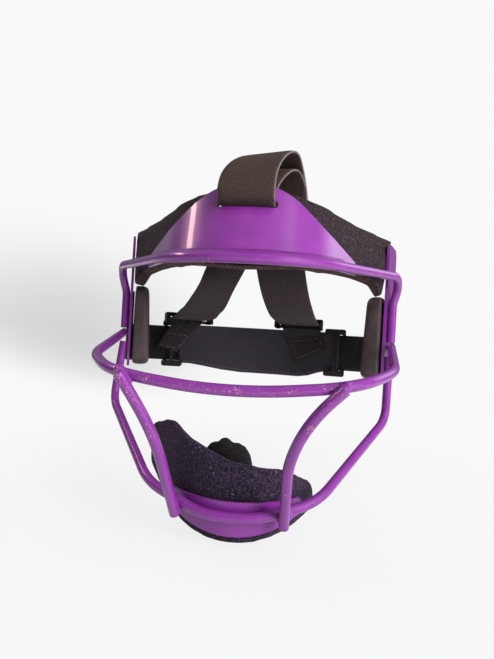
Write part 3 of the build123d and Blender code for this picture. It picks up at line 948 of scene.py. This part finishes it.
# Brushed polyester is short and even, terry and fleece have taller loops with a brown or violet cast
pad_cloth = speckled(
    "black brushed pad cloth", "#0b070a", "#40343b", "#5d5158", 0.0010, 0.32, depth=0.0005
)
terry = speckled(
    "brown terry lining", "#1f1413", "#54403a", "#705a4e", 0.0012, 0.34, sheen=0.8, depth=0.0009
)
fleece = speckled(
    "black looped fleece", "#0c0710", "#483a50", "#6a5c74", 0.0010, 0.32, sheen=0.8, depth=0.0008
)
# Cotton jersey is knitted flat, so it is the smoothest of them
liner_cloth = speckled(
    "black crumpled jersey", "#121013", "#2c2a2e", "#4a464c", 0.0009, 0.28, roughness=0.9
)
naps = (pad_cloth, terry, fleece, liner_cloth)
print("napped cloth:", ", ".join(nap.name for nap in naps))

# %% Imitation leather
def grained_leather(name, dark, light):
    """Soft imitation leather with a fine grain, a satin face, and painted highlight and shade on its
    folds.
    """
    material, tree, shader = new_material(name, Roughness=0.36, IOR=1.5)
    place = add(tree, "TexCoord").outputs["Object"]
    grain_m = 0.0009
    grain = add(
        tree, "TexVoronoi", {"Vector": place, "Scale": 1 / grain_m}, feature="DISTANCE_TO_EDGE"
    )
    fold_m = 1 / 150
    folds = add(tree, "TexNoise", {"Vector": place, "Scale": 1 / fold_m, "Detail": 4.0})
    # Painted highlight and shade: the tone is lighter on the crests of the folds and darker in their
    # hollows
    colour = add(
        tree,
        "Mix",
        {"Factor": folds.outputs["Fac"], "A": rgba(dark), "B": rgba(light)},
        data_type="RGBA",
    )
    creases = add(tree, "MapRange", {"Value": grain.outputs["Distance"], "From Max": 0.12})
    fine = add(
        tree, "Bump", {"Height": creases.outputs[0], "Strength": 0.35, "Distance": 0.08 * mm}
    )
    broad = add(
        tree,
        "Bump",
        {
            "Height": folds.outputs["Fac"],
            "Strength": 0.5,
            "Distance": 1.2 * mm,
            "Normal": fine.outputs[0],
        },
    )
    tree.links.new(colour.outputs["Result"], shader.inputs["Base Color"])
    tree.links.new(broad.outputs[0], shader.inputs["Normal"])
    return material


# Coated imitation leather is embossed with a fine grain, and its satin face shows broad soft glints; its
# tone adds a painted highlight on the crests of broad folds and painted shade in their hollows
leatherette = grained_leather("black imitation leather", "#2c2223", "#544647")
print("cushion skin:", leatherette.name)

# %% [markdown]
# ## Pad shapes
#
# Each pad starts as an even remesh of its CAD piece. It is drawn in a little and then blown up by
# Blender's cloth with a small inner pressure, which rounds the edges and swells the faces as foam in a
# tight skin does. Sculpting could do that too, but the cloth does it the same way on every side. No
# point may move further than a cap, so a pad keeps the place and size of its CAD solid. Last, a small
# function of the place nudges a pad's points where the real one is fuller or leans on the steel.

# %% Even meshes
def even_mesh(source, voxel):
    """A copy of a CAD node's mesh with even faces."""
    mesh = nodes[source].data.copy()
    work = bpy.data.objects.new("work", mesh)
    bpy.context.scene.collection.objects.link(work)
    remesh = work.modifiers.new("even", "REMESH")
    remesh.mode = "VOXEL"
    remesh.voxel_size = voxel * mm
    remesh.adaptivity = 0.0
    smooth = work.modifiers.new("ease", "SMOOTH")
    smooth.iterations = 8
    depsgraph = bpy.context.evaluated_depsgraph_get()
    even = bpy.data.meshes.new_from_object(work.evaluated_get(depsgraph))
    bpy.data.objects.remove(work)
    return even


def vertex_array(mesh, field="co"):
    """Vertex places or normals as an array."""
    values = np.empty(3 * len(mesh.vertices))
    mesh.vertices.foreach_get(field, values)
    return values.reshape(-1, 3)


print("points of the brow pad in CAD:", len(vertex_array(nodes["brow_pad"].data)))

# %% Foam
cloth_frames = 20


def swell(name, source, voxel, shrink, cap, pressure=4.0):
    """A foam pad: a CAD node shrunk, then blown up by cloth, capped, and subdivided once."""
    mesh = even_mesh(source, voxel)
    normals = vertex_array(mesh, "normal")
    start = vertex_array(mesh) - normals * shrink * mm
    mesh.vertices.foreach_set("co", start.ravel())
    mesh.update()
    pad = bpy.data.objects.new(name, mesh)
    bpy.context.scene.collection.objects.link(pad)
    cloth = pad.modifiers.new("foam", "CLOTH")
    cloth.settings.effector_weights.gravity = 0.0
    cloth.settings.use_pressure = True
    cloth.settings.uniform_pressure_force = pressure
    cloth.settings.quality = 4
    cloth.settings.mass = 0.1
    cloth.settings.tension_stiffness = 12
    cloth.settings.bending_stiffness = 2.0
    for frame_number in range(1, cloth_frames + 1):
        bpy.context.scene.frame_set(frame_number)
    depsgraph = bpy.context.evaluated_depsgraph_get()
    blown = vertex_array(pad.evaluated_get(depsgraph).data)
    pad.modifiers.remove(cloth)
    bpy.context.scene.frame_set(1)
    moved = blown - start
    moved -= moved.mean(axis=0)
    far = np.linalg.norm(moved, axis=1)[:, None]
    moved *= np.minimum(1.0, cap * mm / np.maximum(far, 1e-9))
    mesh.vertices.foreach_set("co", (start + moved).ravel())
    print(name, "swelled by up to", round(float(far.max()) / mm, 2), "mm before the cap")
    mesh.polygons.foreach_set("use_smooth", [True] * len(mesh.polygons))
    mesh.update()
    finer = pad.modifiers.new("finer", "SUBSURF")
    finer.levels = finer.render_levels = 1
    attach(pad, root)
    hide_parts(source)
    return pad


print("foam settles over", cloth_frames, "frames")

# %% Nudges
def nudge(pad, move):
    """Moves each vertex of a pad, in mm, by a function of its place in mm."""
    places = vertex_array(pad.data)
    for spot in places:
        spot += np.array(move(spot / mm)) * mm
    pad.data.vertices.foreach_set("co", places.ravel())
    pad.data.update()


def share_of(value, low, high):
    """How far a value has come from a low to a high, from 0 to 1."""
    return min(1.0, max(0.0, (value - low) / (high - low)))


def beyond_plate(spot):
    """The side that a place is on, and how far out it is from the side plate's inner face, in mm."""
    side = 1 if spot[0] > 0 else -1
    across = (abs(spot[0]) - temple_half_width) * cos(temple_flare)
    return side, across - (spot[1] - temple_depth) * sin(temple_flare)


_, head_depth = beyond_plate((0.0, 0.0, 0.0))
print("the side plates stand", round(-head_depth, 1), "mm out from the middle of the head")

# %% Temple cushions
foot_swelling = 1.9
top_rise = 1.0


def fuller_below(spot):
    """The temple cushions are fuller at the foot and reach up to the brow pad."""
    side, depth = beyond_plate(spot)
    inner = share_of(-depth, 3.0, 9.0)
    swelling = foot_swelling * inner * share_of(spot[2], 20.0, -20.0)
    rise = top_rise * share_of(spot[2], 12.0, 24.0)
    return (-side * cos(temple_flare) * swelling, sin(temple_flare) * swelling, rise)


for side_name in ("left", "right"):
    pad = swell(
        side_name + "_temple_cushion",
        side_name + "_side_pad",
        voxel=1.6,
        shrink=0.4,
        cap=0.9,
    )
    nudge(pad, fuller_below)
    dress(pad, leatherette)

# %% Brow cushion
greatest_push = 2.4
plate_clearance = 0.35
tip_drop = 2.4
corner_rise = 2.2


def against_plates(spot):
    """The ends of the brow pad lean on the side plates, and its tips reach down to the cushions."""
    side, depth = beyond_plate(spot)
    near = share_of(-depth, 6.0, 1.0) * share_of(spot[1], -30.0, -12.0)
    push = near * max(0.0, min(greatest_push, -depth - plate_clearance))
    drop = tip_drop * share_of(spot[2], 36.0, 28.0) * share_of(abs(spot[0]), 45.0, 66.0)
    corner = corner_rise * share_of(spot[2], 48.0, 60.0) * share_of(abs(spot[0]), 55.0, 76.0)
    return (side * cos(temple_flare) * push, -sin(temple_flare) * push, corner - drop)


brow_cushion = swell("brow_cushion", "brow_pad", voxel=2.0, shrink=0.6, cap=1.5)
nudge(brow_cushion, against_plates)
dress(brow_cushion, pad_cloth, terry)
# The terry lines what faces the head or looks down
for face in brow_cushion.data.polygons:
    inward = Vector((-face.center.x, -face.center.y, 0)).normalized()
    if face.normal.dot(inward) > 0.35 or face.normal.z < -0.6:
        face.material_index = 1
print("terry faces:", sum(face.material_index for face in brow_cushion.data.polygons))

# %% Chin cushion
crest_rise = 3.4


def fuller_crest(spot):
    """The chin pad's crest is fuller from the left horn to the right shoulder."""
    across = share_of(spot[0], -50.0, -36.0) * share_of(spot[0], 46.0, 24.0)
    return (0.0, 0.0, crest_rise * across * share_of(spot[2], -86.0, -66.0))


chin_cushion = swell("chin_cushion", "chin_pad", voxel=2.0, shrink=0.6, cap=1.3)
nudge(chin_cushion, fuller_crest)
dress(chin_cushion, fleece)

# %% [markdown]
# ## Crumpled chin liner
#
# Behind the chin pad a thin jersey liner is crumpled into a lump. A cloth simulation would crumple it
# differently with every small change, so its folds are two noises: fine creases lift the cloth and
# broad folds draw it in, both straight out from the line through the lump's middle.

# %% Crumpled chin liner
crease_per_m = 160.0
folds_per_m = np.array([110.0, 60.0, 70.0])
crease_height = 1.8
fold_depth = 3.2
lump_x, lump_z = -4.5, -70

liner = swell("chin_liner_cloth", "chin_liner", voxel=1.6, shrink=0.5, cap=1.0)
dress(liner, liner_cloth)
places = vertex_array(liner.data)
for spot in places:
    crease = noise.fractal(Vector(spot) * crease_per_m, 1.0, 2.0, 3)
    fold = abs(noise.noise(Vector(spot * folds_per_m)))
    centre = np.array([lump_x * mm, spot[1], lump_z * mm])
    outward = (spot - centre) / (np.linalg.norm(spot - centre) + 1e-6)
    spot += outward * (crease * crease_height - fold * fold_depth) * mm
liner.data.vertices.foreach_set("co", places.ravel())
liner.data.update()
print("liner:", len(places), "points")

# %% [markdown]
# ## Hook tape and sliders
#
# The patches of hook tape keep their CAD shape, and hardly show between pad and steel. The sliders are
# moulded acetal, a slippery black plastic: its edges have a small round from the mould, and its skin is
# smooth with faint dull patches, so it shows thin bright lines of light.

# %% Hook tape and sliders
patches = ["brow_patch", "left_side_patch", "right_side_patch", "chin_patch"]
sliders = ["left_rear_slider", "right_rear_slider", "left_crown_slider", "right_crown_slider"]
hook_tape = speckled(
    "black hook tape", "#08070a", "#1b191c", "#2c2a2d", 0.0012, 0.3, roughness=0.8, sheen=0.1
)
for patch in patches:
    dress(nodes[patch], hook_tape)

slider_plastic, tree, shader = new_material(
    "black acetal plastic", Roughness=0.28, IOR=1.48, Base_Color=rgba("#060506")
)
place = add(tree, "TexCoord").outputs["Object"]
dull_patch_m = 1 / 900
grain = add(tree, "TexNoise", {"Vector": place, "Scale": 1 / dull_patch_m})
dull = add(tree, "MapRange", {"Value": grain.outputs["Fac"], "To Min": 0.2, "To Max": 0.36})
tree.links.new(dull.outputs[0], shader.inputs["Roughness"])
mould_radius = 0.5 * mm
for slider in sliders:
    dress(nodes[slider], slider_plastic)
    soften(nodes[slider], mould_radius)
print("patches:", len(patches), "sliders:", len(sliders))

# %% [markdown]
# ## Welds
#
# The cheek rods are held by short weld beads: drops of metal that ran together and were coated over.
# Each bead is a few spheres along a line, melted into one skin by a voxel remesh and then smoothed.
# Metaballs would melt together by themselves, but small ones can leave an empty mesh in an export.

# %% Weld beads
bead_radius = 2.2


def bead(name, places, radius, seed=0):
    """A weld bead: overlapping drops of metal along a few places in mm, melted into one skin."""
    random.seed(seed)
    metal = bmesh.new()
    for place in places:
        drop_radius = radius * mm * random.uniform(0.9, 1.15)
        spot = Matrix.Translation(Vector(place) * mm)
        bmesh.ops.create_icosphere(metal, subdivisions=3, radius=drop_radius, matrix=spot)
    drops = bpy.data.meshes.new(name + "_drops")
    metal.to_mesh(drops)
    metal.free()
    work = bpy.data.objects.new(name + "_drops", drops)
    bpy.context.scene.collection.objects.link(work)
    melt = work.modifiers.new("melt", "REMESH")
    melt.mode = "VOXEL"
    melt.voxel_size = 0.4 * mm
    ease = work.modifiers.new("ease", "SMOOTH")
    ease.iterations = 4
    depsgraph = bpy.context.evaluated_depsgraph_get()
    mesh = bpy.data.meshes.new_from_object(work.evaluated_get(depsgraph))
    bpy.data.objects.remove(work)
    mesh.materials.append(coat)
    mesh.polygons.foreach_set("use_smooth", [True] * len(mesh.polygons))
    made = bpy.data.objects.new(name, mesh)
    bpy.context.scene.collection.objects.link(made)
    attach(made, root)
    return made


def line(start, end, count=4):
    """Evenly spaced places from a start to an end."""
    start, end = np.array(start), np.array(end)
    return [tuple(start + (end - start) * k / (count - 1)) for k in range(count)]


welds = {
    "left_cheek_top_weld": line((-47.5, -105.9, -20.0), (-43.5, -106.3, -24.5)),
    "right_cheek_top_weld": line((48.0, -105.9, -20.5), (43.5, -106.3, -25.0)),
    "left_cheek_foot_weld": line((-28.0, -80.0, -84.5), (-25.5, -78.0, -87.5)),
    "right_cheek_foot_weld": line((27.5, -79.8, -85.0), (24.5, -78.2, -88.5)),
}
for number, (name, places) in enumerate(welds.items()):
    bead(name, places, bead_radius, seed=number)
print("weld beads:", len(welds))

# %% [markdown]
# ## Brow weld
#
# The long weld between brow rod and brow plate is a concave fillet that was ground smooth before the
# coating. Beads would look lumpy here, so it is swept: a section of six points, three of them in the
# open hollow and three sunk in the metal, follows the rod and thins out towards both ends. The rod's
# line is worked out again from its bend, as in the CAD model, and not read from its mesh.

# %% Brow weld
# The brow rod's line, in mm: an arc round a centre, straight flanks, and a gentle rise backwards
brow_centre, brow_bend, brow_flank = -43.0, 54.0, radians(34.1)
brow_front = brow_centre - brow_bend
rod_level = 31.0
rod_rise = 0.0644
# The brow plate's outer face stands this far behind the rod's line, and leans back
plate_step = 2.8
plate_lean = tan(radians(26))
arc_half = brow_bend * (pi / 2 - brow_flank)
fillet_half = 68.5
fillet_taper = 6.0


def on_face(rod, out, up, inset=0.05):
    """A point on the brow plate's outer face, a height over the rod's centre."""
    place = rod - out * (plate_step + inset)
    return place + np.array([0, (rod[2] + up - rod_level) * plate_lean, up])


def fillet_section(run):
    """The six points of the fillet at a run along the rod from the middle, in mm."""
    side = 1 if run >= 0 else -1
    angle = min(abs(run), arc_half) / brow_bend
    extra = max(0.0, abs(run) - arc_half)
    out = np.array([side * sin(angle), -cos(angle), 0.0])
    ahead = np.array([side * sin(brow_flank), cos(brow_flank), 0.0])
    rod = np.array([0, brow_centre, 0]) + out * brow_bend + ahead * extra
    rod[2] = rod_level + rod_rise * (rod[1] - brow_front)
    thin = max(0.15, min(1.0, (fillet_half - abs(run)) / fillet_taper))
    # The foot lies just inside the rod, and the crest on the plate, at most 5 mm over the rod's centre
    foot = rod - out * 1.0 + np.array([0, 0, 2.19])
    crest = on_face(rod, out, 2.6 + 2.4 * thin)
    hollow = (foot + crest) / 2 - out * 0.28 - np.array([0, 0, 0.18])
    sunk_crest = on_face(rod, out, 4.4 * thin, inset=0.9)
    sunk_foot = on_face(rod, out, 1.0, inset=0.6)
    return [foot, hollow, crest, sunk_crest, sunk_foot, rod - out * 0.8]


sections = np.linspace(-fillet_half, fillet_half, 81)
fillet_points = [place * mm for run in sections for place in fillet_section(run)]
fillet_faces = []
for k in range(len(sections) - 1):
    for j in range(6):
        low, other = k * 6, (j + 1) % 6
        fillet_faces.append((low + j, low + other, low + 6 + other, low + 6 + j))
fillet_faces += [tuple(range(6)), tuple(range(len(fillet_points) - 6, len(fillet_points)))]
fillet = mesh_object("brow_fillet_weld", fillet_points, fillet_faces, coat)
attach(fillet, root)
print("brow weld:", len(sections), "sections")

# %% [markdown]
# ## Floor and surroundings
#
# The object is shown on matt white paper. A modelled backdrop would have a horizon and shadows of its
# own, so what the camera sees of the paper is mostly a plain tone that depends on the direction from
# the object alone: near white, and a little greyer behind the left side, where the room was in shade.
# The rest is the lit paper with the object's soft shadow, and it fades out with distance. The world has
# the same plain tone for the camera, so no edge shows.
#
# Gloss needs something to mirror. For all other rays the room is dim below and brighter above, with
# soft glows where windows would be, so that the rods reflect something darker than white at their sides.

# %% Paper tone
shaded_way = (-0.47, 0.88, -0.03)
shade_reach = 0.42
shade_flatness = 1.5
shaded_paper, plain_paper = rgba("#d6d6d6"), rgba("#f9f9f9")


def paper_tone(tree, direction):
    """The tone of the far paper in a direction from the object: near white, greyer on one side."""
    apart = add(tree, "VectorMath", {0: direction, 1: shaded_way}, operation="SUBTRACT")
    squeezed = add(
        tree,
        "VectorMath",
        {0: apart.outputs[0], 1: (1.0, 1.0, shade_flatness)},
        operation="MULTIPLY",
    )
    away = add(tree, "VectorMath", {0: squeezed.outputs[0]}, operation="LENGTH")
    share = add(
        tree,
        "MapRange",
        {"Value": away.outputs["Value"], "From Min": 0.0, "From Max": shade_reach},
        interpolation_type="SMOOTHERSTEP",
    )
    mixed = add(
        tree,
        "Mix",
        {"Factor": share.outputs[0], "A": shaded_paper, "B": plain_paper},
        data_type="RGBA",
    )
    return mixed.outputs["Result"]


print("the paper is greyest towards", shaded_way)

# %% Floor
# Up to the first distance, in metres, the paper shows this share of the plain tone, and from the
# second distance on it shows nothing else
fade_start, fade_end = 0.08, 0.28
near_share = 0.86

paper, tree, shader = new_material("matt white paper", Roughness=0.9, Base_Color=rgba("#dcdcdc"))
spot = add(tree, "NewGeometry").outputs["Position"]
outward = add(tree, "VectorMath", {0: spot}, operation="NORMALIZE")
far_tone = add(tree, "Emission", {"Color": paper_tone(tree, outward.outputs[0])})
level = add(tree, "VectorMath", {0: spot, 1: (1.0, 1.0, 0.0)}, operation="MULTIPLY")
radius = add(tree, "VectorMath", {0: level.outputs[0]}, operation="LENGTH")
fade = add(
    tree,
    "MapRange",
    {
        "Value": radius.outputs["Value"],
        "From Min": fade_start,
        "From Max": fade_end,
        "To Min": near_share,
    },
    interpolation_type="SMOOTHSTEP",
)
camera_ray = add(tree, "LightPath").outputs["Is Camera Ray"]
shown = add(tree, "Math", {0: fade.outputs[0], 1: camera_ray}, operation="MULTIPLY")
both = add(tree, "MixShader", {0: shown.outputs[0], 1: shader.outputs[0], 2: far_tone.outputs[0]})
tree.links.new(both.outputs[0], tree.nodes["Material Output"].inputs["Surface"])

floor_mesh = bpy.data.meshes.new("floor")
half_side = 6.0
corners = [(x * half_side, y * half_side, 0) for x, y in ((-1, -1), (1, -1), (1, 1), (-1, 1))]
floor_mesh.from_pydata(corners, [], [(0, 1, 2, 3)])
floor_mesh.materials.append(paper)
floor = bpy.data.objects.new("floor", floor_mesh)
floor_gap = 0.3 * mm
floor.location.z = cad_low.z - floor_gap
bpy.context.scene.collection.objects.link(floor)
print("floor at", round(floor.location.z, 4), "m")

# %% Room
dim_glow, bright_glow = 0.10, 0.38
# Each window's direction, how wide its glow is, and its strength
windows = [
    ((0.74, 0.52, 0.42), 0.42, 2.6),
    ((0.54, -0.28, 0.79), 0.22, 1.6),
    ((-0.75, 0.55, 0.30), 0.30, 0.4),
]

world = bpy.data.worlds.new("pale room")
world.use_nodes = True
room = world.node_tree
room.nodes.clear()
way = add(room, "TexCoord").outputs["Generated"]
seen = add(room, "Background", {"Color": paper_tone(room, way), "Strength": 1.0})
height = add(room, "SeparateXYZ", {"Vector": way}).outputs["Z"]
rising = add(
    room,
    "MapRange",
    {
        "Value": height,
        "From Min": -0.1,
        "From Max": 0.9,
        "To Min": dim_glow,
        "To Max": bright_glow,
    },
)
glow = rising.outputs[0]
for centre, reach, strength in windows:
    apart = add(room, "VectorMath", {0: way, 1: centre}, operation="SUBTRACT")
    away = add(room, "VectorMath", {0: apart.outputs[0]}, operation="LENGTH")
    near = add(
        room,
        "MapRange",
        {
            "Value": away.outputs["Value"],
            "From Min": 0.0,
            "From Max": reach,
            "To Min": strength,
            "To Max": 0.0,
        },
        interpolation_type="SMOOTHSTEP",
    )
    glow = add(room, "Math", {0: glow, 1: near.outputs[0]}, operation="ADD").outputs[0]
lit = add(room, "Background", {"Color": rgba("#dcdcde"), "Strength": glow})
to_camera = add(room, "LightPath").outputs["Is Camera Ray"]
either = add(room, "MixShader", {0: to_camera, 1: lit.outputs[0], 2: seen.outputs[0]})
add(room, "OutputWorld", {"Surface": either.outputs[0]})
bpy.context.scene.world = world
bpy.context.scene.view_settings.view_transform = "Standard"
print("glows in the room:", len(windows))

# %% [markdown]
# ## Lights
#
# A broad soft key stands low on the right and throws the shadow to the left. Its own reflection would
# be too wide on the steel, so it is left out of the gloss, and a narrower light in the same place draws
# the line on the rods instead. A thin strip, turned aslant, draws the streak on the left of the brow
# plate. Three weaker fills from above, in front and behind keep the dark cloth readable from all sides.

# %% Lights
brow_point = Vector((0, -0.06, 0.03))


def softbox(name, way, distance, size, power, tint="#ffffff", glossy=True, diffuse=True):
    """A rectangular area light in a direction from the brow, out of the camera's sight, in metres."""
    light = bpy.data.lights.new(name, "AREA")
    light.shape = "RECTANGLE"
    light.size, light.size_y = size
    light.energy = power
    light.color = linear(tint)
    box = bpy.data.objects.new(name, light)
    box.location = brow_point + Vector(way).normalized() * distance
    box.rotation_euler = (brow_point - box.location).to_track_quat("-Z", "Y").to_euler()
    box.visible_camera = False
    box.visible_glossy = glossy
    box.visible_diffuse = diffuse
    bpy.context.scene.collection.objects.link(box)
    return box


key_way = (0.80, -0.55, 0.28)
softbox("side key", key_way, 1.1, (0.5, 0.7), 18.0, glossy=False)
softbox("rod shine", key_way, 1.1, (0.3, 0.6), 5.0, diffuse=False)
softbox("top fill", (0.35, -0.45, 0.82), 1.2, (0.7, 0.7), 3.0, glossy=False)
softbox("front fill", (-0.1, -1.0, 0.2), 1.3, (1.2, 0.8), 1.2, glossy=False)
softbox("back fill", (-0.72, 0.62, 0.40), 1.2, (0.8, 0.8), 7.0, glossy=False)
strip_light = softbox(
    "left strip", (-0.76, 0.05, 0.65), 1.1, (0.11, 0.5), 2.4, "#ffd2cc", diffuse=False
)
strip_light.rotation_euler.rotate_axis("Z", radians(60))
lights = [thing for thing in bpy.context.scene.objects if thing.type == "LIGHT"]
print("lights:", ", ".join(light.name for light in lights))
